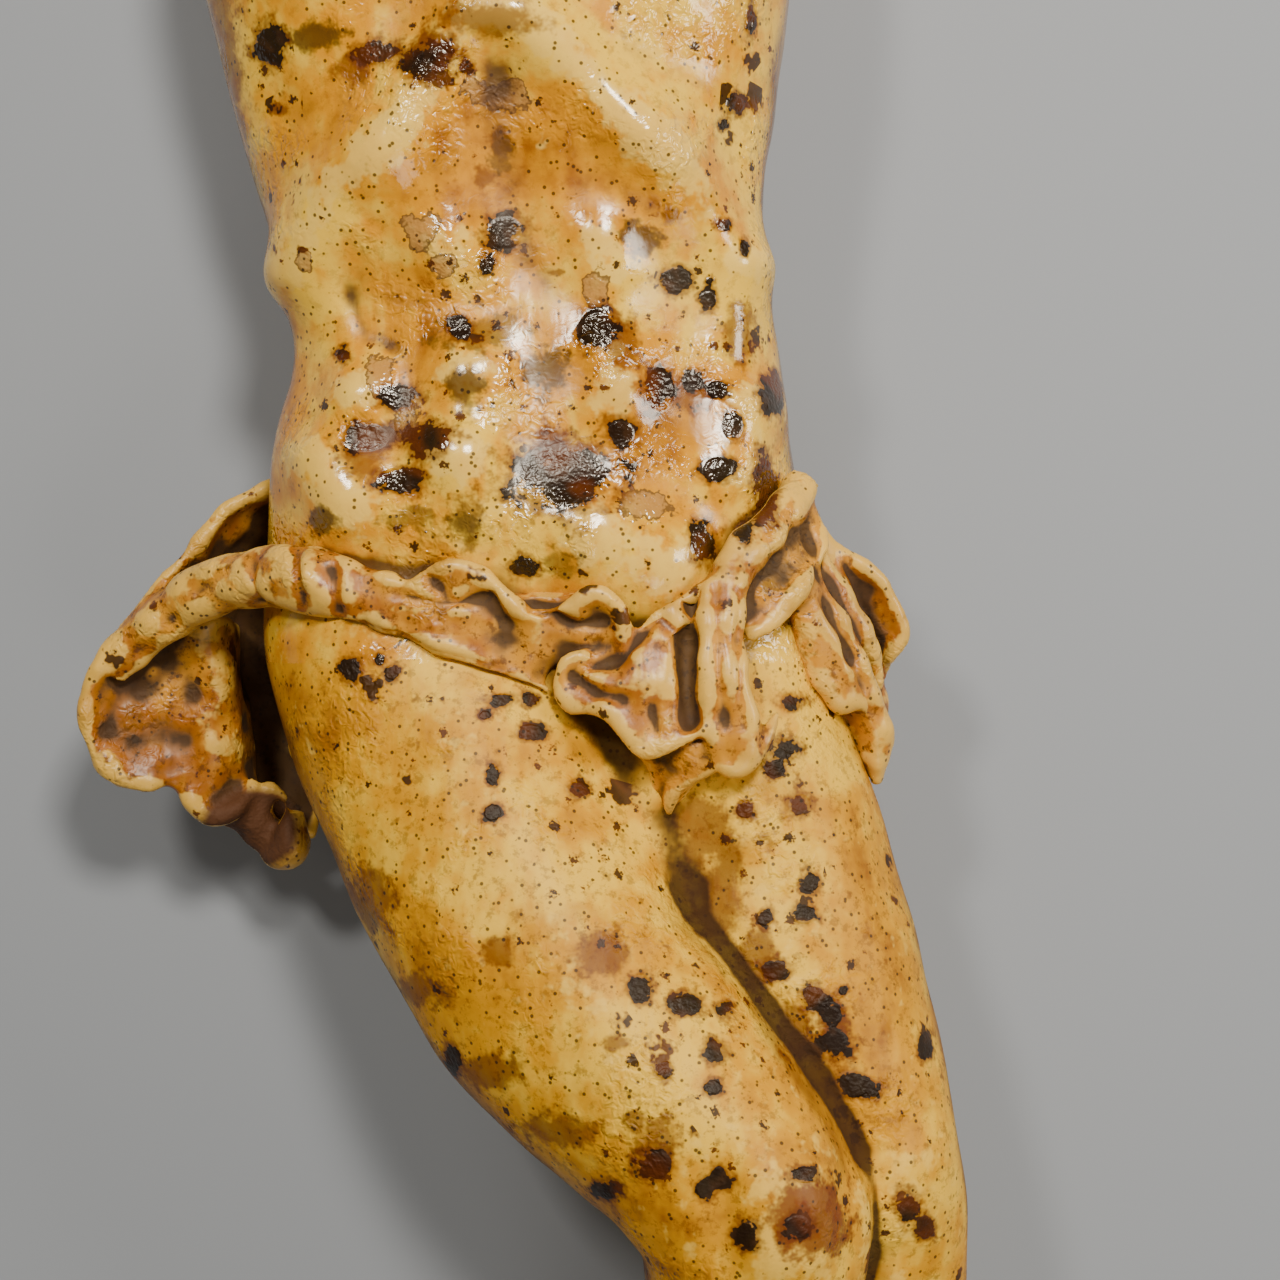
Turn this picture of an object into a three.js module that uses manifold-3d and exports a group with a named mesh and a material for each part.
// Carved wooden figure from a crucifix, made to hang on a cross and lying here on its back.
// The head, trunk, loincloth and legs are carved from one block. Each arm is a piece of its own,
// set against the trunk at the shoulder, as the outstretched arms cross the grain of the block.
// +X is the figure's left, +Y runs up to its head and +Z is the way its chest faces, in millimetres.
import * as THREE from "three";
import { mergeVertices } from "three/addons/utils/BufferGeometryUtils.js";
import Module from "manifold-3d";

const wasm = await Module();
wasm.setup();

// The middle of the outline lies here in the carver's own measures, which start at the loins.
const MIDDLE_OF_OUTLINE = new THREE.Vector3(-31, -8, 0);

const CHEST_X = -31; // the breastbone leans to the figure's right of the loins
const SEAM_GAP = 0.3; // the hairline joint between an arm and the trunk
const SEAM_DIRECTION = new THREE.Vector3(0.853, 0.522, 0); // an arm leaves the shoulder this way
const CLOTH_THICK = 3.2;
const HEM_RADIUS = 1.9;
const WOOD = { color: 0xc8964a, roughness: 0.35, metalness: 0 };

// The sizes of the trunk, from the fork of the legs up to the neck.
// Each station is x, y, z of its middle, then its half width, front depth and back depth.
const TRUNK = [
  [-12, -34, 36, 26, 20, 24],
  [-15, -20, 36, 46, 26, 34],
  [-20, 0, 36.5, 54, 30, 38],
  [-21, 18, 37.5, 53.5, 31.5, 35.5],
  [-21, 36, 38.5, 51.8, 31, 30],
  [-20.8, 52, 39.5, 49.3, 28.5, 27],
  [-22.8, 70, 40, 47.3, 27, 27.5],
  [-24.8, 88, 40, 49.8, 29.5, 31.5],
  [-26, 104, 39.5, 53.6, 33, 36],
  [-27.2, 122, 39, 57.2, 36, 39],
  [-28.5, 142, 38.5, 60, 37.5, 40],
  [-30, 162, 38, 60.5, 36, 39.5],
  [-31, 180, 37, 56, 31, 37],
  [-32, 196, 36, 42, 25, 33],
  [-33, 208, 36, 27, 20, 24],
  [-36, 222, 40, 16, 15.5, 16],
  [-40, 236, 46, 15, 15, 15],
];

// The right thigh crosses in front of the left one, and both knees are raised.
const RIGHT_LEG = [
  [-42, 14, 38, 30, 26, 30],
  [-43, 0, 39, 32, 29, 33],
  [-32, -30, 46, 31.5, 29, 31],
  [-16, -61.5, 56, 29.5, 28, 29],
  [4, -84, 65, 26, 25, 25],
  [14, -95, 69, 23.5, 24, 23],
  [21, -107, 71, 22, 22, 20],
  [21.5, -120, 67, 20.5, 20, 19],
  [20.5, -135, 61, 19, 17, 20],
  [18.5, -155, 54, 19, 16, 21],
  [16.5, -180, 46, 17, 14.5, 18],
  [15, -205, 39, 13.5, 12.5, 13.5],
  [13.5, -228, 33, 11, 11, 11.5],
  [13, -242, 30, 12, 11, 13],
  [13, -250, 28, 9, 9, 9],
];
const LEFT_LEG = [
  [2, 14, 37, 30, 25, 30],
  [5, 2, 37, 31, 28, 33],
  [17, -36, 40, 30, 28, 31],
  [30, -70, 45, 27, 27, 28],
  [39, -92, 48, 23, 24, 24],
  [44, -106, 48, 20, 22, 21],
  [45, -119, 46, 19.5, 20, 19],
  [45, -134, 42, 19, 17, 20],
  [43, -155, 37, 19, 15.5, 20],
  [39, -180, 31, 17, 14, 17],
  [34.5, -205, 25, 13.5, 12, 13],
  [30.5, -228, 19, 11, 11, 11],
  [29, -242, 16, 12, 11, 12.5],
  [29, -250, 14, 9, 9, 9],
];

// The right foot lies over the left one, and the heel of the left one rests on the ground.
const RIGHT_FOOT = [
  [13.2, -226, 33.5, 5, 5, 5],
  [13, -240, 31, 10.5, 10.5, 12],
  [13.5, -250, 30, 12, 11, 15],
  [15, -260, 31, 12.5, 11, 14],
  [18, -276, 34.5, 13.2, 9.5, 10],
  [21.5, -291, 38, 14.3, 7.5, 7.5],
  [24, -301, 40, 14.6, 5.8, 6],
  [25.5, -307, 40, 13.5, 4.5, 5],
];
const LEFT_FOOT = [
  [29.5, -226, 18.5, 5, 5, 5],
  [30, -240, 15.5, 10.5, 10.5, 13],
  [31, -250, 13.5, 12, 10, 15],
  [29, -260, 15, 12.5, 10.5, 12.5],
  [25.5, -276, 18.5, 13.2, 9, 9.5],
  [22, -291, 22, 14.3, 7.5, 7.5],
  [19.5, -301, 24, 14.6, 5.8, 6],
  [18, -307, 24, 13.5, 4.5, 5],
];

const vec = (x, y, z) => new THREE.Vector3(x, y, z);
const FORWARD = vec(0, 0, 1);

// A smooth curve through rows of numbers. t runs from 0 at the first row to 1 at the last.
function between(rows, t) {
  const last = rows.length - 1;
  const i = Math.min(Math.floor(t * last), last - 1);
  const f = t * last - i;
  const near = [i - 1, i, i + 1, i + 2].map((n) => rows[THREE.MathUtils.clamp(n, 0, last)]);
  const [a, b, c, d] = near;
  return b.map((_, k) => {
    const slope = (c[k] - a[k]) * f;
    const bend = (2 * a[k] - 5 * b[k] + 4 * c[k] - d[k]) * f * f;
    const twist = (3 * b[k] - a[k] - 3 * c[k] + d[k]) * f * f * f;
    return b[k] + 0.5 * (slope + bend + twist);
  });
}

// The direction in which the middles of the stations run at t.
function heading(stations, t) {
  const step = 0.004;
  const ahead = between(stations, Math.min(1, t + step));
  const behind = between(stations, Math.max(0, t - step));
  return vec(...ahead).sub(vec(...behind)).normalize();
}

// Joins a grid of points, closed around each row, into a body with a cap at each end.
function skin(rings) {
  const sides = rings[0].length;
  const points = rings.flat();
  const faces = [];
  for (let r = 0; r + 1 < rings.length; r++) {
    for (let s = 0; s < sides; s++) {
      const [a, b] = [r * sides + s, r * sides + ((s + 1) % sides)];
      faces.push(a, b, b + sides, a, b + sides, a + sides);
    }
  }
  for (const [ring, turned] of [[0, true], [rings.length - 1, false]]) {
    const middle = points.length;
    const sum = rings[ring].reduce((total, p) => total.add(p), vec(0, 0, 0));
    points.push(sum.divideScalar(sides));
    for (let s = 0; s < sides; s++) {
      const [a, b] = [ring * sides + s, ring * sides + ((s + 1) % sides)];
      faces.push(...(turned ? [middle, b, a] : [middle, a, b]));
    }
  }
  return bodyOf(points, faces);
}

function bodyOf(points, faces) {
  const geometry = new THREE.BufferGeometry().setFromPoints(points);
  geometry.setIndex(faces);
  return volumeOf(points, faces) < 0 ? turnedOut(geometry) : geometry;
}

function volumeOf(points, faces) {
  let six = 0;
  for (let i = 0; i < faces.length; i += 3) {
    const [a, b, c] = [0, 1, 2].map((k) => points[faces[i + k]]);
    six += a.dot(b.clone().cross(c));
  }
  return six / 6;
}

function turnedOut(geometry) {
  const index = Array.from(geometry.index.array);
  for (let i = 0; i < index.length; i += 3) {
    [index[i + 1], index[i + 2]] = [index[i + 2], index[i + 1]];
  }
  return geometry.setIndex(index);
}

// A body swept through stations, with sections squarer than an ellipse above a squareness of 2.
function loft(stations, sides, rows, { facing = FORWARD, squareness = 2.3, first, last } = {}) {
  const rings = [];
  for (let r = 0; r < rows; r++) {
    const t = r / (rows - 1);
    const [x, y, z, half, front, back] = between(stations, t);
    const fixed = { 0: first, [rows - 1]: last }[r];
    const along = fixed ?? heading(stations, t);
    const out = facing.clone().addScaledVector(along, -facing.dot(along)).normalize();
    const across = along.clone().cross(out);
    const ring = [];
    for (let s = 0; s < sides; s++) {
      const angle = (2 * Math.PI * s) / sides;
      const [c, d] = [Math.cos(angle), Math.sin(angle)];
      const wide = Math.sign(c) * Math.abs(c) ** (2 / squareness) * half;
      const deep = Math.sign(d) * Math.abs(d) ** (2 / squareness) * (d > 0 ? front : back);
      ring.push(vec(x, y, z).addScaledVector(across, wide).addScaledVector(out, deep));
    }
    rings.push(ring);
  }
  return skin(rings);
}

// A round cord of wood along a path, such as a rolled hem or a lock of hair.
function cordOf(path, radius, sides = 6, rows = Math.round(path.length * 1.5)) {
  const taper = (i) => (i === 0 || i === path.length - 1 ? 0.55 : 1);
  const stations = path.map((p, i) => [...p, ...Array(3).fill(radius * taper(i))]);
  return loft(stations, sides, rows, { squareness: 2 });
}

// A sheet of carved cloth through a grid of points, thickened to both sides.
function cloth(grid, rows, columns, thick = CLOTH_THICK) {
  const at = (u, v) => between(grid.map((line) => between(line, v)), u);
  const layer = { front: [], back: [] };
  const step = 0.01;
  for (let r = 0; r <= rows; r++) {
    for (let c = 0; c <= columns; c++) {
      const [u, v] = [r / rows, c / columns];
      const [u0, u1] = [Math.max(0, u - step), Math.min(1, u + step)];
      const [v0, v1] = [Math.max(0, v - step), Math.min(1, v + step)];
      const down = vec(...at(u1, v)).sub(vec(...at(u0, v)));
      const over = vec(...at(u, v1)).sub(vec(...at(u, v0)));
      const normal = down.cross(over).normalize().multiplyScalar(thick / 2);
      const middle = vec(...at(u, v));
      layer.front.push(middle.clone().add(normal));
      layer.back.push(middle.clone().sub(normal));
    }
  }
  const wide = columns + 1;
  const under = layer.front.length;
  const faces = [];
  const quad = (a, b, c, d) => faces.push(a, b, c, a, c, d);
  for (let r = 0; r < rows; r++) {
    for (let c = 0; c < columns; c++) {
      const a = r * wide + c;
      quad(a, a + wide, a + wide + 1, a + 1);
      quad(under + a + 1, under + a + wide + 1, under + a + wide, under + a);
    }
  }
  for (let r = 0; r < rows; r++) {
    const [a, b] = [r * wide, r * wide + columns];
    quad(a, under + a, under + a + wide, a + wide);
    quad(b + wide, under + b + wide, under + b, b);
  }
  for (let c = 0; c < columns; c++) {
    const [a, b] = [c, rows * wide + c];
    quad(a + 1, under + a + 1, under + a, a);
    quad(b, under + b, under + b + 1, b + 1);
  }
  return bodyOf([...layer.front, ...layer.back], faces);
}

// Raises or sinks the skin that faces forward along lines drawn on the front of the figure.
function carve(geometry, strokes) {
  geometry.computeVertexNormals();
  const { position, normal } = geometry.attributes;
  for (let i = 0; i < position.count; i++) {
    const p = vec(0, 0, 0).fromBufferAttribute(position, i);
    const n = vec(0, 0, 0).fromBufferAttribute(normal, i);
    const facing = THREE.MathUtils.smoothstep(n.z, 0, 0.4);
    let height = 0;
    for (const { line, reach, rise } of strokes) {
      const away = distanceTo(line, p.x, p.y) / reach;
      height += rise * Math.exp(-away * away);
    }
    p.addScaledVector(n, height * facing);
    position.setXYZ(i, p.x, p.y, p.z);
  }
  return geometry;
}

function distanceTo(line, x, y) {
  let least = Infinity;
  const p = new THREE.Vector2(x, y);
  for (let i = 0; i < line.length; i++) {
    const a = new THREE.Vector2(...line[i]);
    const b = new THREE.Vector2(...line[Math.min(i + 1, line.length - 1)]);
    const span = b.clone().sub(a);
    const share = p.clone().sub(a).dot(span) / Math.max(span.lengthSq(), 1e-6);
    const foot = a.addScaledVector(span, THREE.MathUtils.clamp(share, 0, 1));
    least = Math.min(least, foot.distanceTo(p));
  }
  return least;
}

// The forms of the chest and belly: breast muscles, the arch of the ribs and the groove of the belly.
const CHEST_AND_BELLY = [
  { line: [[-66, 150], [-50, 144]], reach: 16, rise: 6 },
  { line: [[-14, 144], [2, 150]], reach: 16, rise: 6 },
  { line: [[-31, 170], [-29, 132]], reach: 6, rise: -3 },
  { line: [[-66, 74], [-50, 96], [-32, 116]], reach: 9, rise: 3 },
  { line: [[18, 76], [6, 96], [-22, 116]], reach: 9, rise: 3 },
  { line: [[-28, 112], [-22, 60], [-17, 34]], reach: 6, rise: -2.6 },
  { line: [[-44, 76], [-38, 52]], reach: 8, rise: 1.6 },
  { line: [[-6, 76], [0, 52]], reach: 8, rise: 1.6 },
  { line: [[-40, 38], [-28, 24], [-6, 24], [4, 40]], reach: 10, rise: 3 },
  { line: [[-62, 40], [-56, 28]], reach: 10, rise: 3 },
  { line: [[20, 44], [16, 32]], reach: 9, rise: 2.6 },
  { line: [[-48, 52], [-56, 66]], reach: 5, rise: -2 },
  { line: [[8, 54], [16, 68]], reach: 5, rise: -2 },
];

// Geometry to a manifold solid, and back.
function solidOf(geometry) {
  const plain = new THREE.BufferGeometry();
  plain.setAttribute("position", geometry.getAttribute("position"));
  plain.setIndex(geometry.index);
  const merged = mergeVertices(plain, 1e-4);
  return new wasm.Manifold(
    new wasm.Mesh({
      numProp: 3,
      vertProperties: new Float32Array(merged.attributes.position.array),
      triVerts: new Uint32Array(merged.index.array),
    }),
  );
}

function geometryOf(solid) {
  const mesh = solid.getMesh();
  const geometry = new THREE.BufferGeometry();
  geometry.setAttribute("position", new THREE.BufferAttribute(mesh.vertProperties, 3));
  return geometry.setIndex(new THREE.BufferAttribute(mesh.triVerts, 1));
}

const joined = (pieces) => pieces.map(solidOf).reduce((whole, piece) => whole.add(piece));

// Planes off whatever reaches below the ground that the figure lies on.
function planedFlat(solid) {
  const depth = 20;
  const ground = new THREE.BoxGeometry(900, 900, depth).translate(0, 0, -depth / 2);
  return solid.subtract(solidOf(ground));
}

// The stub of the shoulder on the trunk, which ends in the flat face that meets the arm.
function shoulder(side) {
  const seam = SEAM_DIRECTION.clone().setX(SEAM_DIRECTION.x * side);
  const face = vec(CHEST_X + side * 58, 193, 37).addScaledVector(seam, -SEAM_GAP);
  const stations = [
    [CHEST_X + side * 18, 168, 36, 20, 24, 28],
    [CHEST_X + side * 38, 180, 36.5, 22, 22, 24],
    [...face.toArray(), 20.5, 19, 19],
  ];
  return loft(stations, 12, 4, { last: seam });
}

// One arm from the shoulder seam to the knuckles, with its fingers. side is 1 for the left arm.
function arm(side) {
  const seam = SEAM_DIRECTION.clone().setX(SEAM_DIRECTION.x * side);
  const from = (reach, y, z, ...size) => [CHEST_X + side * reach, y, z, ...size];
  const limb = loft(
    [
      from(58, 193, 37, 20.5, 19, 19),
      from(68, 199, 37, 20, 19, 18.5),
      from(92, 213, 35, 16.5, 16, 16),
      from(118, 227, 32, 14.5, 14, 14),
      from(139, 239, 29, 13.5, 12.5, 12.5),
      from(158, 247.5, 27, 14, 13, 12.5),
      from(180, 257, 24, 12, 11, 11),
      from(206, 269, 19, 9.5, 7.5, 7.5),
      from(216, 273.5, 17, 10.5, 6.5, 6.5),
      from(230, 280, 14.5, 14, 6, 6),
      from(240, 285, 13.5, 14, 5, 5.5),
      from(245, 287.5, 13.5, 11.5, 4, 4.5),
    ],
    10,
    14,
    { first: seam },
  );
  const pieces = [limb];
  // The fingers fan out from the knuckles, half curled, and the middle one is the longest.
  const fingers = [
    { spread: 9.5, length: 21, fan: 0.2 },
    { spread: 3.4, length: 24.5, fan: 0.07 },
    { spread: -2.8, length: 23, fan: -0.05 },
    { spread: -8.6, length: 18, fan: -0.18 },
  ];
  const out = vec(0.91 * side, 0.41, 0);
  const over = vec(-0.41 * side, 0.91, 0);
  for (const { spread, length, fan } of fingers) {
    const root = vec(CHEST_X + side * 241, 285.5, 13.5).addScaledVector(over, spread);
    const line = out.clone().addScaledVector(over, fan);
    const bone = (share, lift, r) => {
      const p = root.clone().addScaledVector(line, length * share);
      return [p.x, p.y, p.z + lift, r, r, r];
    };
    const stations = [bone(-0.15, 0, 3.4), bone(0.4, 1.6, 3.5), bone(0.75, 5, 3.2)];
    pieces.push(loft([...stations, bone(0.95, 10, 2.4)], 5, 4, { squareness: 2 }));
  }
  const thumb = [
    from(222, 284, 15, 5, 4, 4),
    from(231, 292, 18, 4.2, 4, 4),
    from(241, 296, 21, 3.6, 3.4, 3.4),
    from(248, 297, 22.5, 2.4, 2.2, 2.2),
  ];
  pieces.push(loft(thumb, 5, 5, { squareness: 2 }));
  return joined(pieces);
}

// Five toes along the front edge of a foot. The great toe is on the inner side.
function toes(inner, outer, inward) {
  const pieces = [];
  const count = 5;
  for (let i = 0; i < count; i++) {
    const share = i / (count - 1);
    const root = vec(...inner).lerp(vec(...outer), share);
    const great = i === 0;
    const r = great ? 4.8 : 3.4 - 0.15 * i;
    const length = great ? 15 : 14 - 1.3 * i;
    const stations = [
      [root.x, root.y + 5, root.z, r, r, r],
      [root.x + inward * 0.5, root.y - length * 0.55, root.z + 0.4, r, r * 0.95, r],
      [root.x + inward, root.y - length, root.z - 1, r * 0.55, r * 0.5, r * 0.5],
    ];
    pieces.push(loft(stations, 5, 4, { squareness: 2 }));
  }
  return pieces;
}

// The head is made upright about its own middle, then bowed to the figure's right and forward.
function head() {
  const skull = loft(
    [
      [0, -38, 15, 8, 7, 8],
      [0, -31, 9, 16.5, 19, 16],
      [0, -22, 6, 20.5, 24, 23],
      [0, -12, 4, 22.5, 25.5, 29],
      [0, 0, 2, 24, 25.5, 33],
      [0, 9, 1, 25, 28.5, 34],
      [0, 21, 0, 24, 27, 33],
      [0, 31, -2, 18, 19, 24],
      [0, 37, -4, 6, 7, 8],
    ],
    12,
    10,
    { squareness: 2.2 },
  );
  const nose = loft(
    [
      [0, 9, 27, 2.6, 3, 4],
      [0, 0, 28.5, 2.4, 4, 4],
      [0, -8, 30, 4, 5.5, 5],
      [0, -12.5, 29, 5, 4, 5],
      [0, -14.5, 27, 3, 2, 3],
    ],
    6,
    6,
    { squareness: 2 },
  );
  const lids = [-1, 1].map((s) =>
    cordOf([[s * 4.5, 1, 24.5], [s * 10.5, 1.6, 25.5], [s * 17, 0.4, 21]], 4.2, 6, 4));
  const brow = cordOf([[-19, 6, 19], [-10, 8.5, 27], [0, 7, 28], [10, 8.5, 27], [19, 6, 19]], 3.4, 5, 6);
  const lips = cordOf([[-8, -19.5, 26], [0, -18.5, 29.5], [8, -19.5, 26]], 2.8, 5, 5);
  const beard = loft(
    [
      [0, -20, 12, 21, 15, 12],
      [0, -30, 13, 19, 17, 12],
      [0, -40, 15, 13, 14, 11],
      [0, -48, 17, 7, 9, 8],
      [0, -53, 19, 3, 4, 4],
    ],
    10,
    7,
    { squareness: 2.2 },
  );
  // The hair is a cap that leaves the face free, with locks that fall to each side.
  const cap = loft(
    [
      [0, -34, -16, 20, 10, 17],
      [0, -22, -13, 27, 15, 24],
      [0, -6, -10, 30, 18, 27],
      [0, 10, -8, 30, 22, 29],
      [0, 24, -4, 27, 25, 29],
      [0, 35, -3, 19, 19, 23],
      [0, 41, -4, 6, 7, 8],
    ],
    12,
    8,
    { squareness: 2.3 },
  );
  const locks = [-1, 1].flatMap((s) => [
    cordOf([[s * 14, 34, 12], [s * 24, 22, 13], [s * 27, 6, 8], [s * 26, -12, 4], [s * 28, -30, 2]], 6.5, 6, 7),
    cordOf([[s * 20, 30, 0], [s * 29, 10, 0], [s * 30, -14, -4], [s * 27, -36, -6]], 7, 6, 6),
  ]);
  const placed = new THREE.Matrix4().makeBasis(HEAD_ACROSS, HEAD_UP, HEAD_FACING).setPosition(-47, 243, 58);
  return [skull, nose, ...lids, brow, lips, beard, cap, ...locks].map((g) => g.applyMatrix4(placed));
}
const HEAD_UP = vec(-0.3, 0.86, 0.4).normalize();
const HEAD_ACROSS = HEAD_UP.clone().cross(vec(-0.14, -0.4, 0.9)).normalize();
const HEAD_FACING = HEAD_ACROSS.clone().cross(HEAD_UP);

// Locks that leave the head and lie on the shoulders.
function fallenLocks() {
  return [
    cordOf([[-78, 236, 52], [-82, 220, 56], [-76, 204, 62], [-72, 188, 68], [-66, 176, 71]], 6, 6, 7),
    cordOf([[-70, 232, 60], [-72, 214, 66], [-62, 198, 68], [-58, 184, 71]], 5, 6, 5),
    cordOf([[-14, 238, 40], [-6, 222, 44], [-8, 208, 52], [0, 194, 58]], 6, 6, 6),
  ];
}

// The loincloth: a narrow cloth round the hips, with a flaring end on the right hip,
// ruffled hems over the loins and hanging folds on the left hip.
function loincloth() {
  const wrap = cloth(
    [
      [[-73, 31, 36], [-68, 30, 16], [-48, 29, 5], [-21, 28, 3], [8, 28, 6], [28, 28, 20], [32, 30, 46]],
      [[-77, 4, 36], [-72, 2, 13], [-50, 0, 2.2], [-20, -2, 1.5], [12, -1, 2.2], [35, 0, 16], [39, 2, 46]],
      [[-76, -24, 34], [-72, -27, 18], [-52, -30, 6], [-20, -31, 2], [14, -31, 5], [38, -28, 16], [47, -27, 42]],
    ],
    3,
    11,
  );
  const band = loft(
    [
      [-106, -6, 41, 3.8, 2.8, 2.8],
      [-96, 3, 44, 5, 3.8, 3.4],
      [-85, 9.5, 49, 5.6, 4.6, 4.4],
      [-75, 11.8, 55, 5.6, 5, 4.6],
      [-66, 12, 60, 6.6, 6.2, 5],
      [-60, 11, 63, 6.6, 6.4, 5],
      [-54, 9.5, 65, 5.4, 4.8, 4.6],
      [-41.5, 4.5, 67.5, 5.4, 4.4, 5],
      [-28.5, -0.5, 68, 5, 3.6, 5],
      [-17, -6, 66, 3.6, 2.6, 4],
    ],
    8,
    14,
  );
  const flare = cloth(
    [
      [[-73, 32, 34], [-82, 27, 37], [-88, 20, 39], [-95, 11, 41], [-103, 2, 42]],
      [[-70, 22, 16], [-77, 18, 16], [-82, 12, 17], [-86, 5, 18], [-90, -4, 18]],
    ],
    3,
    8,
  );
  // The hanging end, whose section runs out to a rim, back to a fold and into a deep hollow.
  const end = cloth(
    [
      [[-102, 3, 43], [-95, 2, 38], [-88, 3, 41], [-84, 5, 45], [-84, 4, 32], [-84, 2, 16], [-72, 0, 10]],
      [[-109, -9, 41], [-100, -9, 33], [-90, -9, 33], [-83, -9, 39], [-84, -9, 25], [-84, -10, 12], [-70, -12, 8]],
      [[-110, -18, 40], [-101, -20, 34], [-91, -20, 33], [-83, -22, 36], [-82, -24, 24], [-82, -26, 12], [-68, -28, 9]],
      [[-104, -27, 38], [-98, -29, 36], [-91, -28, 34], [-85, -32, 31], [-80, -36, 24], [-78, -42, 16], [-68, -42, 14]],
    ],
    4,
    12,
  );
  const ruffle = [
    [-46, 7, 70], [-40, 11.8, 71], [-32.7, 13.8, 72], [-27, 9.3, 72], [-22, 5.2, 71.5],
    [-15, 5.2, 72.5], [-8.4, 8.6, 73.5], [-4, 6.3, 73.5], [-3, 1, 71.5], [-5.3, -2.8, 69],
  ];
  const apron = cloth(
    [ruffle.filter((_, i) => i % 3 === 0), [[-44, 3, 68], [-32, -2, 67], [-20, -6, 65], [-12, -10, 64]]],
    1,
    7,
    4,
  );
  const hem = [
    [-10, -2.5, 72], [-14.2, -4.2, 72], [-15, -9.4, 71], [-11.8, -12.4, 71], [-6.4, -13.4, 73],
    [-3.4, -15.7, 74], [-1, -19.6, 74], [2.2, -20.7, 74], [7.8, -18.2, 75], [12.1, -16.6, 75],
    [14.4, -19.4, 74], [13.3, -23.6, 72], [9.4, -26.1, 70], [6.4, -28.7, 68], [5.3, -33, 65],
  ];
  const panel = cloth(
    [
      [[-11, -3, 69], [-4, -1, 70], [4, 5, 70], [14, 13, 68]],
      [[-13, -8, 68], [-4, -7, 71], [5, -4, 70], [16, 2, 70]],
      [[-12, -12, 69], [-3, -15, 71], [7, -17, 71], [16, -16, 71]],
    ],
    3,
    6,
    5,
  );
  const pendant = cloth(
    [
      [[-4, -16, 70], [5, -19, 71], [14, -19, 70]],
      [[0, -25, 66], [6, -26, 68], [12, -24, 68]],
      [[3, -33, 62], [5, -33, 63], [7, -32, 63]],
    ],
    3,
    3,
    4,
  );
  const pleat = loft(
    [
      [17, 19, 67, 3, 3, 4],
      [13.5, 8, 71, 4, 4, 5],
      [13.6, -2, 73, 4.4, 4, 5],
      [15.6, -11, 73.5, 4.4, 4, 5],
      [19, -21.5, 72, 4.2, 3.4, 5],
      [19.5, -24, 71, 2, 2, 3],
    ],
    8,
    10,
  );
  const crossing = cloth(
    [
      [[31.5, 32, 52], [27, 23, 61], [21, 15, 66], [15, 9, 68]],
      [[36, 22, 53], [31, 13, 60], [25, 6, 64], [19.5, 1, 66]],
    ],
    3,
    6,
    4,
  );
  const crossingHem = [[36, 20, 55], [31, 11, 61], [25, 4.5, 64.5], [20.3, 0.6, 66.5]];
  const crossingFold = [[32, 31, 54], [26.5, 21.5, 62.5], [20, 13, 67.5], [16, 7, 70]];
  const folds = [
    loft(
      [
        [32, 16, 56, 3, 3, 4],
        [35.5, 6, 56, 4.6, 4.6, 5],
        [40.5, -3.5, 53, 4.6, 4.4, 5],
        [44.5, -12, 49.5, 3.8, 3.4, 5],
        [46.8, -20, 46, 3, 2.6, 4],
        [47, -28.5, 43, 2, 2, 3],
      ],
      8,
      11,
    ),
    cordOf([[34.5, 15, 52], [41, 6, 50], [45.5, -3, 46], [47, -12, 42]], 3, 6),
  ];
  const leftFlare = cloth(
    [
      [[34, 20, 46], [42, 16, 45], [48, 10.5, 43], [52, 3, 41], [49.5, -4, 39]],
      [[36, 8, 38], [40, 4, 36], [43, 0, 34], [45, -6, 32], [46, -13, 31]],
    ],
    3,
    8,
    3.4,
  );
  const leftTail = cloth(
    [
      [[36, -4, 50], [40, -12, 49], [44, -20, 46], [46, -27, 43]],
      [[45, -2, 30], [49, -10, 32], [49, -18, 36], [47.5, -27, 40]],
    ],
    3,
    5,
    3.4,
  );
  // The lowest corner of the hanging end has broken away to rough, bare wood.
  const broken = [
    cordOf([[-86, -30, 27], [-80, -37, 26], [-75, -43, 22]], 5, 5),
    cordOf([[-71, -35, 28], [-72, -42, 27], [-77, -45, 23]], 4.2, 5),
  ];
  const hems = [ruffle, hem, crossingHem, crossingFold].map((path) => cordOf(path, HEM_RADIUS, 4));
  const overHips = [wrap, band, flare, end, ...broken, crossing, ...folds, leftFlare, leftTail];
  return [...overHips, apron, panel, pendant, pleat, ...hems];
}

function trunk() {
  return [
    carve(loft(TRUNK, 22, 23, { squareness: 2.35 }), CHEST_AND_BELLY),
    shoulder(-1),
    shoulder(1),
  ];
}

function legs() {
  return [
    loft(RIGHT_LEG, 12, 18, { squareness: 2.1 }),
    loft(LEFT_LEG, 12, 18, { squareness: 2.1 }),
    loft(RIGHT_FOOT, 10, 7, { squareness: 2.3 }),
    loft(LEFT_FOOT, 10, 7, { squareness: 2.3 }),
    ...toes([35, -309, 40.5], [15.5, -306, 38.5], 0.6),
    ...toes([8.5, -309, 24.5], [28, -306, 22.5], -0.6),
  ];
}

function meshOf(name, solid) {
  const mesh = new THREE.Mesh(geometryOf(solid), new THREE.MeshStandardMaterial(WOOD));
  mesh.name = name;
  mesh.position.copy(MIDDLE_OF_OUTLINE).negate();
  return mesh;
}

const figure = new THREE.Group();
figure.add(meshOf("body", planedFlat(joined([...trunk(), ...legs(), ...head(), ...fallenLocks(), ...loincloth()]))));
figure.add(meshOf("right_arm", arm(-1)));
figure.add(meshOf("left_arm", arm(1)));

export default figure;
